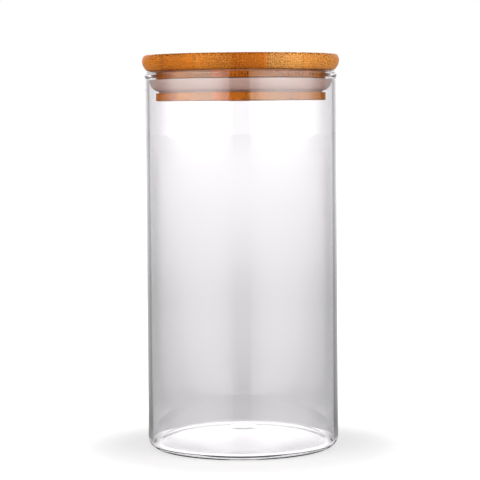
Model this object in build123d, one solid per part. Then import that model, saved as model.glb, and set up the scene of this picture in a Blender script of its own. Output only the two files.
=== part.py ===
from build123d import *
import math
import os

# Lidded glass canister: a borosilicate jar, a bamboo lid in two turned pieces, a silicone seal.
#
# The jar is one thin piece of glass. Its base is pushed up into a dome with a full shoulder, which
# comes down to a narrow foot ring. The heel is rounded, and the rim is melted to a small bead. The
# lid is a round board that overhangs the rim, with a turned plug glued under it. A groove in the
# plug holds the seal, and the seal's soft lip wipes the bore of the jar.
#
# +Z is up along the jar's axis. The origin is the centre of the foot ring, on the table.
# The fibres of the bamboo run along Y. All sizes are in millimetres.

# glass jar
jar_diameter = 100.0  # outside of the straight wall
jar_height = 196.8  # table to the top of the rim
wall_thickness = 2.0
heel_radius = 5.5  # outside rounding between wall and foot ring
foot_width = 1.0  # flat ring that the jar stands on
floor_height = 10.3  # top of the pushed-up floor, inside, above the table
floor_thickness = 2.8  # glass at the middle of the floor
inside_level = 20.0  # how far the inside dome holds its level from the axis
inside_shoulder = 8.0  # length of its shoulder
inside_lean = 45.0  # degrees that the shoulder comes down at
under_level = 20.0  # the same for the dome underneath
under_shoulder = 8.0
under_lean = 40.0
corner_height = 2.6  # lowest line of the inside, where floor and wall meet
corner_radius = 0.6
mark_diameter = 14.0  # low round mark at the middle of the floor
mark_height = 0.9
rim_bead = 0.4  # how far the melted rim stands out from the wall
rim_bead_height = 3.0  # stretch below the rim over which the wall swells to the bead

# lid board
board_thickness = 8.0
board_top_drop = 2.8  # rounded edge above the board's widest line
board_top_inset = 1.2  # how far the top face stops short of the widest line
board_under_inset = 2.5  # how far the underside stops short of it
board_corner_easing = 0.5  # sanded corners round the two faces

# lid plug
neck_height = 4.1  # wood between the board and the groove
groove_height = 7.6
flange_height = 4.0  # wood below the groove
groove_depth = 3.6
plug_corner_easing = 0.4

# silicone seal
band_thickness = 1.8  # flat band that grips the groove
lip_start = 0.6  # the lip leaves the band this far above the band's lower edge
lip_overlap = 0.6  # how deep the foot of the lip runs into the band
lip_root_thickness = 1.4
lip_tip_thickness = 1.0
lip_drop = 0.5  # how far the tip of the lip stays below the band's upper edge

# fits
board_overhang = 1.5  # board beyond the straight wall of the jar
plug_clearance = 3.6  # plug to the bore, all round, which the lip of the seal bridges
rim_gap = 0.6  # board above the rim, where the seal's grip holds it
groove_clearance = 0.15  # seal to wood, on every side
bore_clearance = 0.2  # lip of the seal to the glass, all round

# places that follow from the sizes
outer_radius = jar_diameter / 2
bore_radius = outer_radius - wall_thickness
foot_outer_radius = outer_radius - heel_radius
foot_inner_radius = foot_outer_radius - foot_width
mark_radius = mark_diameter / 2
under_height = floor_height - floor_thickness

board_radius = outer_radius + board_overhang
board_bottom = jar_height + rim_gap
board_top = board_bottom + board_thickness

plug_radius = bore_radius - plug_clearance
groove_radius = plug_radius - groove_depth
groove_top = board_bottom - neck_height
groove_bottom = groove_top - groove_height
plug_bottom = groove_bottom - flange_height

band_inner_radius = groove_radius + groove_clearance
band_outer_radius = band_inner_radius + band_thickness
band_bottom = groove_bottom + groove_clearance
band_top = groove_top - groove_clearance
lip_foot_radius = band_outer_radius - lip_overlap
lip_radius = bore_radius - bore_clearance
lip_bottom = band_bottom + lip_start
lip_top = band_top - lip_drop


def turned(section):
    """The solid that a (radius, height) section sweeps about the Z axis."""
    return revolve(Plane.XZ * section, axis=Axis.Z)


def corner(section, radius, height):
    """The corner of a (radius, height) section that lies nearest to a point."""
    return section.vertices().sort_by_distance(Vector(radius, height, 0))[0]


def dome_line(height, level, edge, shoulder, lean):
    """A dome from its top on the axis, level at first, down a full shoulder to its edge."""
    run = shoulder * math.cos(math.radians(lean))
    rise = shoulder * math.sin(math.radians(lean))
    return Bezier((0, height), (level, height), (edge.X - run, edge.Y + rise), edge)


def floor_mark():
    """Section of the round mark, from just under the floor's surface up to its soft top."""
    top = floor_height + mark_height
    root = floor_height - floor_thickness / 2
    brow = Bezier(
        (0, top),
        (mark_radius / 2, top),
        (mark_radius / 2, floor_height),
        (mark_radius, floor_height - mark_height / 4),
    )
    side = Line(brow @ 1, (mark_radius, root))
    return make_face([brow, side, Line(side @ 1, (0, root)), Line((0, root), (0, top))])


def rim_lines():
    """The rim: a half round as wide as the melted bead, then a soft swell down to the wall."""
    round_radius = (wall_thickness + rim_bead) / 2
    round_height = jar_height - round_radius
    bead_radius = outer_radius + rim_bead
    swell_bottom = round_height - rim_bead_height
    swell_middle = round_height - rim_bead_height / 2
    crown = (bore_radius + round_radius, jar_height)
    half_round = ThreePointArc((bore_radius, round_height), crown, (bead_radius, round_height))
    swell = Bezier(
        (bead_radius, round_height),
        (bead_radius, swell_middle),
        (outer_radius, swell_middle),
        (outer_radius, swell_bottom),
    )
    return [half_round, swell]


def make_glass_jar():
    """One piece of glass: domed base on a foot ring, rounded heel, thin wall and melted rim."""
    half_round, swell = rim_lines()
    foot_edge = Vector(foot_inner_radius, 0)
    underside = dome_line(under_height, under_level, foot_edge, under_shoulder, under_lean)
    corner_centre = (bore_radius - corner_radius, corner_height + corner_radius)
    corner_round = CenterArc(corner_centre, corner_radius, 0, -90 - inside_lean)
    inside = dome_line(
        floor_height, inside_level, corner_round @ 1, inside_shoulder, inside_lean
    )
    section = make_face(
        [
            underside,
            Line(underside @ 1, (outer_radius, 0)),
            Line((outer_radius, 0), swell @ 1),
            swell,
            half_round,
            Line(half_round @ 0, corner_round @ 0),
            corner_round,
            inside,
            Line(inside @ 0, underside @ 0),
        ]
    )
    section = fillet(corner(section, outer_radius, 0), heel_radius)
    return turned(section + floor_mark())


def make_lid_board():
    """The round board, with a small round above its widest line and a fuller one below it."""
    widest = (board_radius, board_top - board_top_drop)
    top_corner = (board_radius - board_top_inset, board_top)
    under_corner = (board_radius - board_under_inset, board_bottom)
    section = make_face(
        [
            Line((0, board_bottom), under_corner),
            TangentArc(widest, under_corner, tangent=(0, -1)),
            TangentArc(widest, top_corner, tangent=(0, 1)),
            Line(top_corner, (0, board_top)),
            Line((0, board_top), (0, board_bottom)),
        ]
    )
    section = fillet(corner(section, *top_corner), board_corner_easing)
    section = fillet(corner(section, *under_corner), board_corner_easing)
    return turned(section)


def make_lid_plug():
    """The turned disc under the board, with the square groove for the seal."""
    section = make_face(
        Polyline(
            (0, plug_bottom),
            (plug_radius, plug_bottom),
            (plug_radius, groove_bottom),
            (groove_radius, groove_bottom),
            (groove_radius, groove_top),
            (plug_radius, groove_top),
            (plug_radius, board_bottom),
            (0, board_bottom),
            close=True,
        )
    )
    for height in (plug_bottom, groove_bottom, groove_top):
        section = fillet(corner(section, plug_radius, height), plug_corner_easing)
    return turned(section)


def make_seal_ring():
    """A flat band in the groove, with a bowl-shaped lip that rises from its foot to the bore."""
    lip_reach = lip_radius - lip_foot_radius
    lip_rise = lip_top - lip_bottom
    lip_centre = (lip_foot_radius, lip_top)
    outside = EllipticalCenterArc(lip_centre, lip_reach, lip_rise, start_angle=270, arc_size=90)
    inside = EllipticalCenterArc(
        lip_centre,
        lip_reach - lip_tip_thickness,
        lip_rise - lip_root_thickness,
        start_angle=270,
        arc_size=90,
    )
    lip = make_face([outside, Line(outside @ 1, inside @ 1), inside, Line(inside @ 0, outside @ 0)])
    band = Pos((band_inner_radius + band_outer_radius) / 2, (band_bottom + band_top) / 2)
    section = band * Rectangle(band_thickness, band_top - band_bottom) + lip
    tip_rounding = lip_tip_thickness / 3
    section = fillet(corner(section, lip_radius, lip_top), tip_rounding)
    section = fillet(corner(section, lip_radius - lip_tip_thickness, lip_top), tip_rounding)
    return turned(section)


os.makedirs("parts", exist_ok=True)
export_step(make_glass_jar(), "parts/glass_jar.step")
export_step(make_lid_board(), "parts/lid_board.step")
export_step(make_lid_plug(), "parts/lid_plug.step")
export_step(make_seal_ring(), "parts/seal_ring.step")
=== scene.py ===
import bpy
import math
from mathutils import Matrix, Vector


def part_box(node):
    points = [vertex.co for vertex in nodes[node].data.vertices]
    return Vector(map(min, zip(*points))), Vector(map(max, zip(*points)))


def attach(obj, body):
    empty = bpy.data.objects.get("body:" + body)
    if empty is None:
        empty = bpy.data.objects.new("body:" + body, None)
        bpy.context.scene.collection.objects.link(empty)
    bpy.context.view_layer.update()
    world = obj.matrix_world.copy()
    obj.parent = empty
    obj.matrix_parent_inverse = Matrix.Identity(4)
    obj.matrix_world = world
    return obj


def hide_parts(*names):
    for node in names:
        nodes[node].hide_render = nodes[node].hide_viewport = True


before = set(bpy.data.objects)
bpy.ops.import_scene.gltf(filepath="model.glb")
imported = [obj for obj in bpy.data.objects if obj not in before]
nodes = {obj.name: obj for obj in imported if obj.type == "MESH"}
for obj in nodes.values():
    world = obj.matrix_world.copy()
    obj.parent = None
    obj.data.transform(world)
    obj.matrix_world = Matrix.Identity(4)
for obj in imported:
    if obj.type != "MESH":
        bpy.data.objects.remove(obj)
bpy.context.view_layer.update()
mm = 0.001  # the pieces are sized in millimetres, the studio and the camera's place in metres
print("frame loaded:", ", ".join(sorted(nodes)))


def linearColor(hexColor, alpha=1.0):
    # "#c8762d" as the eye reads it, turned to the linear values that the shaders want
    channels = [int(hexColor[i:i + 2], 16) / 255 for i in (1, 3, 5)]
    linear = [c / 12.92 if c <= 0.04045 else ((c + 0.055) / 1.055) ** 2.4 for c in channels]
    return (*linear, alpha)


def addNode(tree, kind, *inputs, **settings):
    # one node with its settings; the inputs come in order, or in one dictionary by name or number,
    # and each is a value, an output, or a node, whose first output is then taken
    node = tree.nodes.new(kind)
    for key, value in settings.items():
        setattr(node, key, value)
    byKey = inputs[0] if inputs and isinstance(inputs[0], dict) else dict(enumerate(inputs))
    for key, value in byKey.items():
        if isinstance(value, bpy.types.Node):
            value = value.outputs[0]
        if isinstance(value, bpy.types.NodeSocket):
            tree.links.new(value, node.inputs[key])
        else:
            node.inputs[key].default_value = value
    return node


def newMaterial(name):
    material = bpy.data.materials.new(name)
    material.use_nodes = True
    tree = material.node_tree
    tree.nodes.clear()
    return material, tree


def dressNode(nodeName, material):
    slots = nodes[nodeName].data.materials
    slots.clear()
    slots.append(material)


def addToScene(name, data):
    thing = bpy.data.objects.new(name, data)
    bpy.context.scene.collection.objects.link(thing)
    return thing


# a half section is a list of (radius, height) points, and the lathe sweeps it round the Z axis

def lineOfPoints(start, end, steps=1, ease=0.25):
    # a straight run; the extra points close to its ends keep the shading of the rounds off the flat
    (r0, z0), (r1, z1) = start, end
    length = math.dist(start, end)
    shares = [0.0, ease / length] + [i / steps for i in range(1, steps)] + [1 - ease / length, 1.0]
    return [(r0 + (r1 - r0) * t, z0 + (z1 - z0) * t) for t in shares]


def arcOfPoints(centre, radius, fromAngle, toAngle, steps):
    angles = [math.radians(fromAngle + (toAngle - fromAngle) * i / steps) for i in range(steps + 1)]
    return [(centre[0] + radius * math.cos(a), centre[1] + radius * math.sin(a)) for a in angles]


def bezierOfPoints(a, b, c, d, steps):
    shares = [i / steps for i in range(steps + 1)]
    return [tuple((1 - t) ** 3 * p + 3 * (1 - t) ** 2 * t * q + 3 * (1 - t) * t * t * r + t ** 3 * s
                  for p, q, r, s in zip(a, b, c, d)) for t in shares]


def domeOfPoints(crown, level, edge, lean, reach, steps):
    lean = math.radians(lean)
    flank = (edge[0] - reach * math.cos(lean), edge[1] + reach * math.sin(lean))
    return bezierOfPoints((0, crown), (level, crown), flank, edge, steps)


def makeLatheTree():
    tree = bpy.data.node_groups.new("turnOnLathe", "GeometryNodeTree")
    tree.is_modifier = True
    for name, kind in (("Half Section", "Geometry"), ("Segments", "Int"), ("Merge Distance", "Float"),
                       ("Material", "Material")):
        tree.interface.new_socket(name, in_out="INPUT", socket_type=f"NodeSocket{kind}")
    tree.interface.new_socket("Geometry", in_out="OUTPUT", socket_type="NodeSocketGeometry")
    given = addNode(tree, "NodeGroupInput").outputs

    # a flat sheet, with a row for each point of the section and a column for each step of the turn
    pointCount = addNode(tree, "GeometryNodeAttributeDomainSize", given["Half Section"],
                         component="MESH").outputs["Point Count"]
    columnCount = addNode(tree, "ShaderNodeMath", given["Segments"], 1.0, operation="ADD")
    sheet = addNode(tree, "GeometryNodeMeshGrid", {"Vertices X": pointCount, "Vertices Y": columnCount})
    index = addNode(tree, "GeometryNodeInputIndex")
    row = addNode(tree, "ShaderNodeMath", index, 0.5, operation="ADD")  # a half keeps off the rounding
    row = addNode(tree, "ShaderNodeMath", row, columnCount, operation="DIVIDE")
    row = addNode(tree, "ShaderNodeMath", row, operation="FLOOR")
    rowStart = addNode(tree, "ShaderNodeMath", row, columnCount, operation="MULTIPLY")
    column = addNode(tree, "ShaderNodeMath", index, rowStart, operation="SUBTRACT")

    # the columns turn clockwise, so that the faces look outwards
    turn = addNode(tree, "ShaderNodeMath", column, -2 * math.pi, operation="MULTIPLY")
    turn = addNode(tree, "ShaderNodeMath", turn, given["Segments"], operation="DIVIDE")
    position = addNode(tree, "GeometryNodeInputPosition")
    point = addNode(tree, "GeometryNodeSampleIndex", {
        "Geometry": given["Half Section"], "Index": row, "Value": position},
        data_type="FLOAT_VECTOR", domain="POINT").outputs["Value"]
    radius, _, height = addNode(tree, "ShaderNodeSeparateXYZ", point).outputs
    cosine = addNode(tree, "ShaderNodeMath", turn, operation="COSINE")
    sine = addNode(tree, "ShaderNodeMath", turn, operation="SINE")
    x = addNode(tree, "ShaderNodeMath", radius, cosine, operation="MULTIPLY")
    y = addNode(tree, "ShaderNodeMath", radius, sine, operation="MULTIPLY")
    place = addNode(tree, "ShaderNodeCombineXYZ", x, y, height)
    turned = addNode(tree, "GeometryNodeSetPosition", {"Geometry": sheet, "Position": place})

    closed = addNode(tree, "GeometryNodeMergeByDistance", {
        "Geometry": turned, "Distance": given["Merge Distance"]})
    smooth = addNode(tree, "GeometryNodeSetShadeSmooth", {"Geometry": closed, "Shade Smooth": True})
    real = addNode(tree, "GeometryNodeRealizeInstances", smooth)
    dressed = addNode(tree, "GeometryNodeSetMaterial", {"Geometry": real, "Material": given["Material"]})
    addNode(tree, "NodeGroupOutput", dressed)
    return tree


def turnOnLathe(name, section, look, material):
    sectionMesh = bpy.data.meshes.new(f"{name}_section")
    points = [(radius * mm, 0.0, height * mm) for radius, height in section]
    sectionMesh.from_pydata(points, [(i, i + 1) for i in range(len(points) - 1)], [])
    blank = addToScene(f"{name}_blank", sectionMesh)
    modifier = blank.modifiers.new("lathe", "NODES")
    modifier.node_group = latheTree
    values = {"Segments": look["segments"], "Merge Distance": look["merge"] * mm, "Material": material}
    for socket in latheTree.interface.items_tree:
        if socket.in_out == "INPUT" and socket.name in values:
            modifier[socket.identifier] = values[socket.name]
    turnedBlank = blank.evaluated_get(bpy.context.evaluated_depsgraph_get())
    turnedMesh = bpy.data.meshes.new_from_object(turnedBlank)
    blank.modifiers.remove(modifier)
    bpy.data.objects.remove(blank)
    turnedMesh.name = name
    return addToScene(name, turnedMesh)


latheTree = makeLatheTree()

# jar, borosilicate glass: drawn tube with a pressed base, clear, a hard shine, grey only edge on
jarLook = {
    "wall": 2.0, "heel": 5.5, "foot": 1.0,
    "crown": 10.3, "floor": 2.8,  # top of the pushed-up floor, and its thickness there
    # how far each dome holds its level from the axis, how steeply it comes down at its edge, in
    # degrees, and how long that shoulder is
    "insideLevel": 20.0, "insideLean": 45.0, "insideReach": 8.0,
    "underLevel": 20.0, "underLean": 40.0, "underReach": 8.0,
    "cornerHeight": 2.6, "corner": 0.6,  # lowest line of the inside, and its rounding
    "markRadius": 7.0, "markHeight": 0.9,  # low round mark where the base was closed
    "bead": 0.4, "beadHeight": 3.0,  # how far the melted rim stands out, and how far down it swells
    "segments": 384, "domeSteps": 60, "roundSteps": 24, "runSteps": 12,  # how finely it is turned
    "merge": 0.002,  # points closer than this become one
    "ior": 1.473,
    "tint": "#fdfdfe",
    "shadowTint": "#f1f2f2",  # what a lamp still gives through the two walls
    "absorbColor": "#96919a", "absorbPerMetre": 6.0,  # the glass itself, seen along the wall
}


def jarSection(look):
    beadRadius, _, top = (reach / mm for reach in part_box("glass_jar")[1])
    outside = beadRadius - look["bead"]
    bore = outside - look["wall"]
    footOut = outside - look["heel"]
    footIn = footOut - look["foot"]

    # underside of the base, foot ring, rounded heel
    section = domeOfPoints(look["crown"] - look["floor"], look["underLevel"], (footIn, 0),
                           look["underLean"], look["underReach"], look["domeSteps"])
    section += lineOfPoints((footIn, 0), (footOut, 0))[1:]
    section += arcOfPoints((footOut, look["heel"]), look["heel"], -90, 0, look["roundSteps"])[1:]

    # wall, melted rim, bore
    rimRadius = (look["wall"] + look["bead"]) / 2
    rimHeight = top - rimRadius
    swellFrom = rimHeight - look["beadHeight"]
    swellMiddle = rimHeight - look["beadHeight"] / 2
    cornerTop = look["cornerHeight"] + look["corner"]
    section += lineOfPoints((outside, look["heel"]), (outside, swellFrom), look["runSteps"])[1:]
    section += bezierOfPoints((outside, swellFrom), (outside, swellMiddle),
                              (beadRadius, swellMiddle), (beadRadius, rimHeight), look["runSteps"])[1:]
    section += arcOfPoints((bore + rimRadius, rimHeight), rimRadius, 0, 180, look["roundSteps"])[1:]
    section += lineOfPoints((bore, rimHeight), (bore, cornerTop), look["runSteps"])[1:]

    # corner of the inside, then the floor with its round mark, from its edge in to the axis
    section += arcOfPoints((bore - look["corner"], cornerTop), look["corner"],
                           0, -90 - look["insideLean"], look["roundSteps"])[1:]
    floorLine = domeOfPoints(look["crown"], look["insideLevel"], section[-1],
                             look["insideLean"], look["insideReach"], look["domeSteps"])
    for radius, height in floorLine[-2::-1]:
        lift = look["markHeight"] * max(0.0, 1 - (radius / look["markRadius"]) ** 2) ** 2
        section.append((radius, height + lift))
    return section


def makeGlass(look):
    material, tree = newMaterial("borosilicate_glass_drawn")
    glass = addNode(tree, "ShaderNodeBsdfPrincipled", {
        "Base Color": linearColor(look["tint"]),
        "Roughness": 0.0,
        "IOR": look["ior"],
        "Transmission Weight": 1.0,
    })
    path = addNode(tree, "ShaderNodeLightPath").outputs
    lampPass = addNode(tree, "ShaderNodeBsdfTransparent", {"Color": linearColor(look["shadowTint"])})
    unseen = addNode(tree, "ShaderNodeMath", path["Is Shadow Ray"], path["Is Diffuse Ray"],
                     operation="MAXIMUM")
    surface = addNode(tree, "ShaderNodeMixShader", unseen, glass, lampPass)
    absorb = addNode(tree, "ShaderNodeVolumeAbsorption", {
        "Color": linearColor(look["absorbColor"]), "Density": look["absorbPerMetre"]})
    addNode(tree, "ShaderNodeOutputMaterial", {"Surface": surface, "Volume": absorb})
    return material


jar = turnOnLathe("jar_of_glass", jarSection(jarLook), jarLook, makeGlass(jarLook))
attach(jar, "jar")
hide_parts("glass_jar")
print("jar turned:", len(jar.data.polygons), "faces")

# bamboo, glued up from strips, turned and oiled: long fibres, dark dots on the cut ends
bamboo = {
    "stripWidth": 18.3,
    "seamWidth": 0.3, "seamStrength": 0.1,
    "bundleSpacing": 1.1,  # real bundles of fibres lie 0.6 apart, drawn coarser so that they show
    "bundleScatter": 0.7,
    "dotFade": (0.2, 0.42),  # a dot fades out between these shares of the spacing
    "thinDots": 0.4,  # share of the dots that is left on the side of a strip where they thin out
    "edgeFull": 0.2,  # the dots of a cut edge reach their full strength this far from it
    # along the fibres, where the surface barely faces Y, a bundle is only a faint line
    "sideOnDots": 0.22, "endOn": (0.1, 0.6),
    "dotDip": 0.6,
    "driftSize": 25.0, "drift": 2.5,  # the fibres wander up to this far aside
    "fibreStretch": 50.0,  # how much longer than wide the pattern is along Y
    "stripJump": 37.0,  # from strip to strip the pattern starts somewhere else
    "streakSize": 1.11, "mottleSize": 7.14,  # fine streaks along the fibres, and broad patches
    "grain": (0.6, 1.4),  # the sum of streaks and mottle that gives the darkest and the lightest wood
    "shade": (0.86, 1.24),  # darkest and lightest wood
    "denseShade": 0.90, "thinShade": 1.12,  # dense and thin side of a strip
    "bump": 0.35, "bumpDepth": 0.15,
    "roughnessSpread": 0.2,
    "ior": 1.5, "specular": 0.08,  # the oil has sunk in and leaves hardly a shine
}
# along X, one strip after the other: its tone, and the side on which its fibres lie densest
boardLook = {
    "firstSeam": -60.0, "blend": 0.09,  # the tones run into each other over this share of a strip
    "strips": (("#c0701f", 1), ("#b4661b", 0), ("#b66d25", 1), ("#a65a14", 0), ("#c88a45", 0),
               ("#c4803a", 1), ("#bb7226", 0)),
    "fibre": "#642f06",
    "dots": 0.8, "edgeDots": 0.9, "edgeDepth": 1.6,  # more dots down from the top edge
    "roughness": 0.42,
}
plugLook = {
    "firstSeam": -50.9, "blend": 0.06,
    "strips": (("#b8661b", 0), ("#c67e36", 1), ("#ca6d1d", 1), ("#c27a32", 1), ("#bd7632", 0),
               ("#b0661f", 0)),
    "fibre": "#5a2a05",
    "dots": 1.0, "edgeDots": 0.9, "edgeDepth": 1.2,  # more dots up from the bottom edge
    "roughness": 0.5,
}


def makeBamboo(name, look, edgeHeight, edgeSide):
    # edgeSide is 1 where the wood lies below the dotted edge, and -1 where it lies above
    material, tree = newMaterial(name)
    coords = addNode(tree, "ShaderNodeTexCoord").outputs
    inMm = addNode(tree, "ShaderNodeVectorMath", {0: coords["Object"], "Scale": 1 / mm}, operation="SCALE")
    x, _, z = addNode(tree, "ShaderNodeSeparateXYZ", inMm).outputs
    _, alongY, _ = addNode(tree, "ShaderNodeSeparateXYZ", coords["Normal"]).outputs
    cutEnd = addNode(tree, "ShaderNodeMath", alongY, operation="ABSOLUTE")

    # which strip, and its tone
    across = addNode(tree, "ShaderNodeMath", x, look["firstSeam"], operation="SUBTRACT")
    across = addNode(tree, "ShaderNodeMath", across, bamboo["stripWidth"], operation="DIVIDE")
    strip = addNode(tree, "ShaderNodeMath", across, operation="FLOOR")
    inStrip = addNode(tree, "ShaderNodeMath", across, operation="FRACT")
    count = len(look["strips"])
    onRamp = addNode(tree, "ShaderNodeMath", across, count, operation="DIVIDE")
    tones = addNode(tree, "ShaderNodeValToRGB", onRamp)
    ramp = tones.color_ramp
    while len(ramp.elements) < 2 * count:
        ramp.elements.new(1.0)
    for i, (tone, denseSide) in enumerate(look["strips"]):
        for j, share in enumerate((look["blend"], 1 - look["blend"])):
            ramp.elements[2 * i + j].position = (i + share) / count
            ramp.elements[2 * i + j].color = linearColor(tone, denseSide)

    # how far from the dense side, as a share of the strip, and how far from the nearest glue seam
    fromDense = addNode(tree, "ShaderNodeMath", tones.outputs["Alpha"], inStrip, operation="SUBTRACT")
    fromDense = addNode(tree, "ShaderNodeMath", fromDense, operation="ABSOLUTE")
    toNext = addNode(tree, "ShaderNodeMath", 1.0, inStrip, operation="SUBTRACT")
    toSeam = addNode(tree, "ShaderNodeMath", inStrip, toNext, operation="MINIMUM")
    toSeam = addNode(tree, "ShaderNodeMath", bamboo["stripWidth"], toSeam, operation="MULTIPLY")
    seam = addNode(tree, "ShaderNodeMapRange", toSeam, 0.0, bamboo["seamWidth"],
                   bamboo["seamStrength"], 0.0, interpolation_type="SMOOTHSTEP")

    # fibres: a pattern in the cut end that barely changes along Y
    drift = addNode(tree, "ShaderNodeTexNoise", {
        "Vector": inMm, "Scale": 1 / bamboo["driftSize"], "Detail": 2.0}).outputs["Color"]
    wander = addNode(tree, "ShaderNodeVectorMath", {0: drift, "Scale": bamboo["drift"]}, operation="SCALE")
    jump = addNode(tree, "ShaderNodeMath", strip, bamboo["stripJump"], operation="MULTIPLY")
    jump = addNode(tree, "ShaderNodeCombineXYZ", jump)
    spot = addNode(tree, "ShaderNodeVectorMath", inMm, (1.0, 1 / bamboo["fibreStretch"], 1.0),
                   operation="MULTIPLY")
    spot = addNode(tree, "ShaderNodeVectorMath", spot, wander, operation="ADD")
    spot = addNode(tree, "ShaderNodeVectorMath", spot, jump, operation="ADD")
    spotX, _, spotZ = addNode(tree, "ShaderNodeSeparateXYZ", spot).outputs
    cut = addNode(tree, "ShaderNodeCombineXYZ", spotX, spotZ)
    bundle = addNode(tree, "ShaderNodeTexVoronoi", {
        "Vector": cut, "Scale": 1 / bamboo["bundleSpacing"], "Randomness": bamboo["bundleScatter"]},
        feature="F1", voronoi_dimensions="2D").outputs["Distance"]
    dot = addNode(tree, "ShaderNodeMapRange", bundle, *bamboo["dotFade"], 1.0, 0.0,
                  interpolation_type="SMOOTHSTEP")
    streaks = addNode(tree, "ShaderNodeTexNoise", {
        "Vector": spot, "Scale": 1 / bamboo["streakSize"], "Detail": 4.0, "Roughness": 0.65}).outputs["Fac"]
    mottle = addNode(tree, "ShaderNodeTexNoise", {
        "Vector": inMm, "Scale": 1 / bamboo["mottleSize"], "Detail": 3.0, "Roughness": 0.6}).outputs["Fac"]

    # tone of the strip, lighter where the fibres thin out
    grain = addNode(tree, "ShaderNodeMath", streaks, mottle, operation="ADD")
    shade = addNode(tree, "ShaderNodeMapRange", grain, *bamboo["grain"], *bamboo["shade"])
    thinned = addNode(tree, "ShaderNodeMapRange", fromDense, 0.0, 1.0, bamboo["denseShade"],
                      bamboo["thinShade"])
    shade = addNode(tree, "ShaderNodeMath", shade, thinned, operation="MULTIPLY")
    wood = addNode(tree, "ShaderNodeMix", {0: 1.0, 6: tones, 7: shade},
                   data_type="RGBA", blend_type="MULTIPLY").outputs[2]

    # then the dots, and more of them at a cut edge
    density = addNode(tree, "ShaderNodeMapRange", fromDense, 0.0, 1.0, look["dots"],
                      bamboo["thinDots"] * look["dots"])
    toEdge = addNode(tree, "ShaderNodeMath", z, edgeHeight, operation="SUBTRACT")
    toEdge = addNode(tree, "ShaderNodeMath", edgeSide, toEdge, operation="MULTIPLY")
    atEdge = addNode(tree, "ShaderNodeMapRange", toEdge, -look["edgeDepth"], -bamboo["edgeFull"],
                     0.0, look["edgeDots"], interpolation_type="SMOOTHSTEP")
    endOn = addNode(tree, "ShaderNodeMapRange", cutEnd, *bamboo["endOn"], bamboo["sideOnDots"], 1.0,
                    interpolation_type="SMOOTHSTEP")
    inked = addNode(tree, "ShaderNodeMath", density, atEdge, operation="ADD")
    inked = addNode(tree, "ShaderNodeMath", inked, endOn, operation="MULTIPLY")
    inked = addNode(tree, "ShaderNodeMath", dot, inked, operation="MULTIPLY")
    color = wood
    for strength in (inked, seam):
        color = addNode(tree, "ShaderNodeMix", {0: strength, 6: color, 7: linearColor(look["fibre"])},
                        data_type="RGBA").outputs[2]

    dip = addNode(tree, "ShaderNodeMath", dot, bamboo["dotDip"], operation="MULTIPLY")
    height = addNode(tree, "ShaderNodeMath", streaks, dip, operation="SUBTRACT")
    bump = addNode(tree, "ShaderNodeBump", {
        "Strength": bamboo["bump"], "Distance": bamboo["bumpDepth"] * mm, "Height": height})
    spread = bamboo["roughnessSpread"]
    roughness = addNode(tree, "ShaderNodeMath", streaks, spread, operation="MULTIPLY")
    roughness = addNode(tree, "ShaderNodeMath", roughness, look["roughness"] - spread / 2, operation="ADD")
    shader = addNode(tree, "ShaderNodeBsdfPrincipled", {
        "Base Color": color, "Roughness": roughness, "IOR": bamboo["ior"],
        "Specular IOR Level": bamboo["specular"], "Normal": bump})
    addNode(tree, "ShaderNodeOutputMaterial", {"Surface": shader})
    return material


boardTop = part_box("lid_board")[1][2] / mm
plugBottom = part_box("lid_plug")[0][2] / mm
dressNode("lid_board", makeBamboo("bamboo_strips_turned_oiled", boardLook, boardTop, 1.0))
dressNode("lid_plug", makeBamboo("bamboo_plug_turned_oiled", plugLook, plugBottom, -1.0))
print("bamboo done")

# silicone, moulded: milky, with the warm cast of the wood behind it painted into its colour; a little
# of that wood also shows through
sealLook = {
    # the milk colour holds a painted warm cast: the wood seen through the seal
    "milkWithWoodCast": "#e1baae", "roughness": 0.38, "ior": 1.41, "clearness": 0.35,
    "scatter": 4.0, "scatterColor": (1.0, 0.85, 0.8),  # how deep the light goes, and red deepest
}


def makeSilicone(look):
    material, tree = newMaterial("silicone_moulded_milky")
    shader = addNode(tree, "ShaderNodeBsdfPrincipled", {
        "Base Color": linearColor(look["milkWithWoodCast"]),
        "Roughness": look["roughness"],
        "IOR": look["ior"],
        "Transmission Weight": look["clearness"],
        "Subsurface Weight": 1.0,
        "Subsurface Radius": look["scatterColor"],
        "Subsurface Scale": look["scatter"] * mm,
    })
    addNode(tree, "ShaderNodeOutputMaterial", {"Surface": shader})
    return material


dressNode("seal_ring", makeSilicone(sealLook))
print("silicone done")

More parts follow.
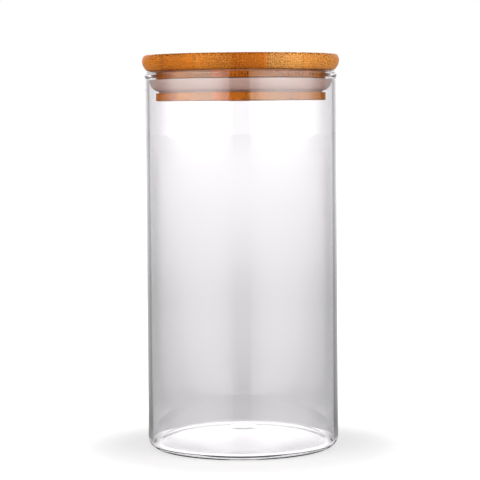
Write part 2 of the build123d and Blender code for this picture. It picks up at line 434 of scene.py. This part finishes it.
# studio, white round the object: what the glass mirrors is brighter to both sides, and dark in a gap
# between the softboxes, where the camera stands
# bearings are in degrees round the jar, 0 on the camera's side and 180 behind it; a curve by bearing
# or by distance in metres is a list of (place, level), with a level of 1 for white
studio = {
    "floorSize": 30.0, "floorDrop": 0.0001, "floorColor": "#f0f0f0",  # the drop keeps it off the foot ring
    # the floor in plain sight has a painted glow that grows from here to there, measured from a point
    # before the jar: it sets where the jar's shadow fades, further out in front than behind
    "whiteFrom": 0.060, "whiteTo": 0.150, "whiteShift": 0.009, "nearGlow": 0.2, "farGlow": 1.0,
    "gapLeft": 11.5, "gapRight": 8.5, "gapSoftness": 4.0,
    "bearingFrom": 0.040,  # on the table, bearings are taken from this far in front of the jar's axis

    # what the glass mirrors, by bearing: the softboxes with the table they light, then the backdrop
    "front": ((0, 0.40), (15, 0.42), (25, 0.75), (38, 0.96), (48, 1.0), (65, 0.86), (84, 0.63),
              (100, 0.21), (110, 0.08), (120, 0.04), (180, 0.0)),
    "back": ((0, 0.0), (118, 0.0), (130, 0.16), (141, 0.28), (150, 0.4), (157, 0.55), (165, 0.85),
             (174, 1.1), (180, 1.15)),
    # the backdrop is this many times as bright at the horizon, and a little higher up; a rise is the
    # upward part of a direction, from 0 at the horizon to 1 overhead
    "horizon": 1.18, "lowSky": 2.2, "lowSkyRise": (0.02, 0.05),
    # the backdrop higher up still, which the dome of the base mirrors
    "sky": ((0, 0.0), (118, 0.0), (135, 0.3), (145, 1.2), (155, 1.6), (165, 1.75), (175, 1.84),
            (180, 1.84)),
    "skyRise": (0.10, 0.14),
    # the table that the glass mirrors glows with painted light, by distance: lit close by, dim beyond the
    # softboxes
    "table": ((0.0, 1.4), (0.12, 1.4), (0.2, 1.2), (0.3, 1.05), (0.5, 1.0), (0.9, 0.87), (1.4, 0.53),
              (2.5, 0.25), (4.0, 0.3), (6.0, 0.6)),
    # the floor behind the jar that the glass mirrors glows with painted light, by distance
    "fadeInMirror": ((0.0, 0.85), (0.5, 0.85), (0.8, 0.85), (1.4, 0.98), (2.5, 1.11), (5.5, 1.18)),
    # painted light and shade of the table right by the jar, which its heel mirrors, by bearing, and where
    # it gives way to the rest
    "near": ((0, 1.4), (45, 1.3), (60, 0.3), (70, 0.05), (110, 0.05), (125, 0.3), (145, 0.32),
             (157, 1.1), (180, 1.15)),
    "nearReach": (0.075, 0.11),
    "shadeUnderJar": 0.5, "underReach": (0.040, 0.046),  # painted shade under the jar, out to its foot ring

    # the floor seen through the glass only glows, by distance: painted light under the jar, painted
    # shadow close around it, and white far off
    "fade": ((0.0, 0.84), (0.055, 0.84), (0.060, 0.66), (0.15, 0.65), (0.25, 0.72), (0.5, 0.80),
             (0.8, 0.83), (1.4, 0.98), (2.5, 1.11), (5.5, 1.18)),
    "fadeReach": 6.0, "fadeColor": "#fffcfd",
    # and painted shade a little to both sides: slant is the way aside over the way back, taken from a
    # place before the jar
    "slant": (0.095, 0.17), "slantFrom": 0.4, "paintedSideShade": 0.16, "slantReach": (3.0, 11.0),
    "backdrop": 1.2,  # behind the glass
    "room": 0.3,  # what lights the matt surfaces from all round
}


def levelAlong(tree, value, points, reach):
    # a level read off a drawn line, which is kept at half its height because it can't go above 1
    share = addNode(tree, "ShaderNodeMath", value, reach, operation="DIVIDE")
    curve = addNode(tree, "ShaderNodeFloatCurve", {1: share})
    line = curve.mapping.curves[0]
    line.points[0].location = (points[0][0] / reach, points[0][1] / 2)
    line.points[1].location = (1.0, points[-1][1] / 2)
    for place, level in points[1:]:
        if place < reach:
            line.points.new(place / reach, level / 2)
    curve.mapping.update()
    return addNode(tree, "ShaderNodeMath", curve, 2.0, operation="MULTIPLY")


def levelByBearing(tree, bearing, points):
    bothSides = addNode(tree, "ShaderNodeMath", bearing, operation="ABSOLUTE")
    return levelAlong(tree, bothSides, points, 180)


def bearingOf(tree, x, y):
    forward = addNode(tree, "ShaderNodeMath", y, -1.0, operation="MULTIPLY")
    angle = addNode(tree, "ShaderNodeMath", x, forward, operation="ARCTAN2")
    return addNode(tree, "ShaderNodeMath", angle, operation="DEGREES")


def frontLevel(tree, bearing):
    # the softboxes to both sides, with the dark gap between them
    bothSides = []
    for edge, softness in ((-studio["gapLeft"], -studio["gapSoftness"]),
                           (studio["gapRight"], studio["gapSoftness"])):
        bothSides.append(addNode(tree, "ShaderNodeMapRange", bearing, edge, edge + softness,
                                 interpolation_type="SMOOTHSTEP"))
    outOfGap = addNode(tree, "ShaderNodeMath", *bothSides, operation="ADD")
    level = levelByBearing(tree, bearing, studio["front"])
    return addNode(tree, "ShaderNodeMath", outOfGap, level, operation="MULTIPLY")


def sightOf(tree):
    # what kind of ray looks: straight through the glass, or mirrored by it, before any matt surface;
    # a depth is a whole number, so the limits are halves
    path = addNode(tree, "ShaderNodeLightPath").outputs
    first = addNode(tree, "ShaderNodeMath", path["Diffuse Depth"], 0.5, operation="LESS_THAN")
    glossy = addNode(tree, "ShaderNodeMath", path["Glossy Depth"], 0.5, operation="GREATER_THAN")
    mirrored = addNode(tree, "ShaderNodeMath", first, glossy, operation="MULTIPLY")
    direct = addNode(tree, "ShaderNodeMath", first, mirrored, operation="SUBTRACT")
    through = addNode(tree, "ShaderNodeMath", direct, path["Is Transmission Ray"], operation="MULTIPLY")
    return path, through, mirrored


def makeFloorMaterial():
    material, tree = newMaterial("studio_floor_matt")
    path, through, mirrored = sightOf(tree)
    place = addNode(tree, "ShaderNodeTexCoord").outputs["Object"]
    x, y, _ = addNode(tree, "ShaderNodeSeparateXYZ", place).outputs
    away = addNode(tree, "ShaderNodeVectorMath", place, operation="LENGTH").outputs["Value"]

    # in plain sight: matt, with the jar's shadow, and a painted glow that leaves the shadow near the jar
    # and turns white further out
    matt = addNode(tree, "ShaderNodeBsdfDiffuse", {"Color": linearColor(studio["floorColor"])})
    shifted = addNode(tree, "ShaderNodeVectorMath", place, (0, studio["whiteShift"], 0), operation="ADD")
    fromShadow = addNode(tree, "ShaderNodeVectorMath", shifted, operation="LENGTH").outputs["Value"]
    paintedGlow = addNode(tree, "ShaderNodeMapRange", fromShadow, studio["whiteFrom"], studio["whiteTo"],
                     studio["nearGlow"], studio["farGlow"], interpolation_type="SMOOTHSTEP")
    paintedGlow = addNode(tree, "ShaderNodeMath", path["Is Camera Ray"], paintedGlow, operation="MULTIPLY")
    glow = addNode(tree, "ShaderNodeEmission", {"Strength": paintedGlow})
    seen = addNode(tree, "ShaderNodeAddShader", matt, glow)

    # through the glass the floor only glows: painted light under the jar, painted shadow close by,
    # white far off, and painted shade a little to both sides
    fade = levelAlong(tree, away, studio["fade"], studio["fadeReach"])
    sideways = addNode(tree, "ShaderNodeMath", x, operation="ABSOLUTE")
    along = addNode(tree, "ShaderNodeMath", y, operation="ABSOLUTE")
    along = addNode(tree, "ShaderNodeMath", along, studio["slantFrom"], operation="ADD")
    slant = addNode(tree, "ShaderNodeMath", sideways, along, operation="DIVIDE")
    aside = addNode(tree, "ShaderNodeMapRange", slant, *studio["slant"], interpolation_type="SMOOTHSTEP")
    close = addNode(tree, "ShaderNodeMapRange", away, *studio["slantReach"], studio["paintedSideShade"], 0.0,
                    interpolation_type="SMOOTHSTEP")
    dim = addNode(tree, "ShaderNodeMath", aside, close, operation="MULTIPLY")
    bright = addNode(tree, "ShaderNodeMath", 1.0, dim, operation="SUBTRACT")
    fade = addNode(tree, "ShaderNodeMath", fade, bright, operation="MULTIPLY")
    behind = addNode(tree, "ShaderNodeEmission", {
        "Color": linearColor(studio["fadeColor"]), "Strength": fade})

    # in a reflection the floor only glows, with painted light: the lit table in front, the pale floor
    # behind, the table right by the jar, and painted shade under the jar
    shiftedY = addNode(tree, "ShaderNodeMath", y, studio["bearingFrom"], operation="ADD")
    bearing = bearingOf(tree, x, shiftedY)
    table = levelAlong(tree, away, studio["table"], studio["fadeReach"])
    table = addNode(tree, "ShaderNodeMath", frontLevel(tree, bearing), table, operation="MULTIPLY")
    pale = levelAlong(tree, away, studio["fadeInMirror"], studio["fadeReach"])
    pale = addNode(tree, "ShaderNodeMath", levelByBearing(tree, bearing, studio["back"]), pale,
                   operation="MULTIPLY")
    lit = addNode(tree, "ShaderNodeMath", table, pale, operation="ADD")
    byJar = levelByBearing(tree, bearing, studio["near"])
    near = addNode(tree, "ShaderNodeMapRange", away, *studio["nearReach"], 1.0, 0.0,
                   interpolation_type="SMOOTHSTEP")
    lit = addNode(tree, "ShaderNodeMix", {0: near, 2: lit, 3: byJar})
    under = addNode(tree, "ShaderNodeMapRange", away, *studio["underReach"], studio["shadeUnderJar"], 1.0,
                    interpolation_type="SMOOTHSTEP")
    lit = addNode(tree, "ShaderNodeMath", lit, under, operation="MULTIPLY")
    inMirror = addNode(tree, "ShaderNodeEmission", {"Strength": lit})

    seen = addNode(tree, "ShaderNodeMixShader", through, seen, behind)
    seen = addNode(tree, "ShaderNodeMixShader", mirrored, seen, inMirror)
    addNode(tree, "ShaderNodeOutputMaterial", {"Surface": seen})
    return material


def makeWorld():
    world = bpy.data.worlds.new("studio")
    world.use_nodes = True
    tree = world.node_tree
    tree.nodes.clear()
    path, through, mirrored = sightOf(tree)
    toSky = addNode(tree, "ShaderNodeTexCoord").outputs["Generated"]
    x, y, z = addNode(tree, "ShaderNodeSeparateXYZ", toSky).outputs
    bearing = bearingOf(tree, x, y)

    # in a reflection: the backdrop low down, the backdrop higher up, and the front added to them
    boost = addNode(tree, "ShaderNodeMapRange", z, *studio["lowSkyRise"], studio["horizon"],
                    studio["lowSky"], interpolation_type="SMOOTHSTEP")
    low = levelByBearing(tree, bearing, studio["back"])
    low = addNode(tree, "ShaderNodeMath", low, boost, operation="MULTIPLY")
    above = levelByBearing(tree, bearing, studio["sky"])
    rise = addNode(tree, "ShaderNodeMapRange", z, *studio["skyRise"], interpolation_type="SMOOTHSTEP")
    back = addNode(tree, "ShaderNodeMix", {0: rise, 2: low, 3: above})
    around = addNode(tree, "ShaderNodeMath", frontLevel(tree, bearing), back, operation="ADD")

    # each kind of ray has its own level, and the plain view is white
    strength = addNode(tree, "ShaderNodeMix", {0: mirrored, 2: studio["room"], 3: around})
    strength = addNode(tree, "ShaderNodeMix", {0: through, 2: strength, 3: studio["backdrop"]})
    strength = addNode(tree, "ShaderNodeMix", {0: path["Is Camera Ray"], 2: strength, 3: 1.0})
    color = addNode(tree, "ShaderNodeMix", {
        0: path["Is Camera Ray"], 6: linearColor(studio["fadeColor"]), 7: (1, 1, 1, 1)},
        data_type="RGBA").outputs[2]
    sky = addNode(tree, "ShaderNodeBackground", {"Color": color, "Strength": strength})
    addNode(tree, "ShaderNodeOutputWorld", {"Surface": sky})
    return world


floorMesh = bpy.data.meshes.new("floor")
half = studio["floorSize"] / 2
corners = [(x * half, y * half, -studio["floorDrop"]) for x, y in ((-1, -1), (1, -1), (1, 1), (-1, 1))]
floorMesh.from_pydata(corners, [], [(0, 1, 2, 3)])
floorMesh.materials.append(makeFloorMaterial())
floor = addToScene("floor", floorMesh)
bpy.context.scene.world = makeWorld()

# softboxes, one to each side of the camera
softbox = {
    "distance": 0.95, "bottom": 0.15, "top": 0.95,
    "nearEdge": 10.0, "farEdge": 110.0,  # the bearings it reaches over
    "glow": 3.5,
}


def addSoftbox(name, side):
    middle = math.radians((softbox["farEdge"] + softbox["nearEdge"]) / 2)
    halfAngle = math.radians((softbox["farEdge"] - softbox["nearEdge"]) / 2)
    toBox = Vector((side * math.sin(middle), -math.cos(middle), 0))
    lamp = bpy.data.lights.new(name, "AREA")
    lamp.shape = "RECTANGLE"
    lamp.size = 2 * softbox["distance"] * math.tan(halfAngle)
    lamp.size_y = softbox["top"] - softbox["bottom"]
    lamp.energy = math.pi * lamp.size * lamp.size_y  # a bigger box stays as bright
    box = addToScene(name, lamp)
    box.location = toBox * softbox["distance"]
    box.location.z = (softbox["top"] + softbox["bottom"]) / 2
    box.rotation_euler = toBox.to_track_quat("Z", "Y").to_euler()
    box.visible_camera = False

    # it glows with the front, unseen straight through the glass and at a second reflection
    lamp.use_nodes = True
    tree = lamp.node_tree
    tree.nodes.clear()
    spot = addNode(tree, "ShaderNodeNewGeometry").outputs["Position"]
    x, y, _ = addNode(tree, "ShaderNodeSeparateXYZ", spot).outputs
    path, through, _ = sightOf(tree)
    level = frontLevel(tree, bearingOf(tree, x, y))
    level = addNode(tree, "ShaderNodeMath", level, softbox["glow"], operation="MULTIPLY")
    notThrough = addNode(tree, "ShaderNodeMath", 1.0, through, operation="SUBTRACT")
    level = addNode(tree, "ShaderNodeMath", level, notThrough, operation="MULTIPLY")
    firstMirror = addNode(tree, "ShaderNodeMath", path["Glossy Depth"], 1.5, operation="LESS_THAN")
    level = addNode(tree, "ShaderNodeMath", level, firstMirror, operation="MULTIPLY")
    light = addNode(tree, "ShaderNodeEmission", {"Strength": level})
    addNode(tree, "ShaderNodeOutputLight", {"Surface": light})


addSoftbox("softbox_left", -1)
addSoftbox("softbox_right", 1)
print("studio done")

# camera: metres, degrees, and the lens in millimetres
view = {
    "distance": 1.0021, "height": 0.1749, "side": -0.0009,
    "tilt": 3.07, "roll": -0.456,
    "lens": 143.25, "sensor": 36.0, "shift": -0.05,
}
cameraData = bpy.data.cameras.new("camera")
cameraData.lens = view["lens"]
cameraData.sensor_width = view["sensor"]
cameraData.shift_y = view["shift"]
camera = addToScene("camera", cameraData)
camera.matrix_world = (Matrix.Translation((view["side"], -view["distance"], view["height"]))
                       @ Matrix.Rotation(math.radians(90 - view["tilt"]), 4, "X")
                       @ Matrix.Rotation(math.radians(view["roll"]), 4, "Z"))
bpy.context.scene.camera = camera
bpy.context.scene.view_settings.view_transform = "Standard"
print("camera placed")
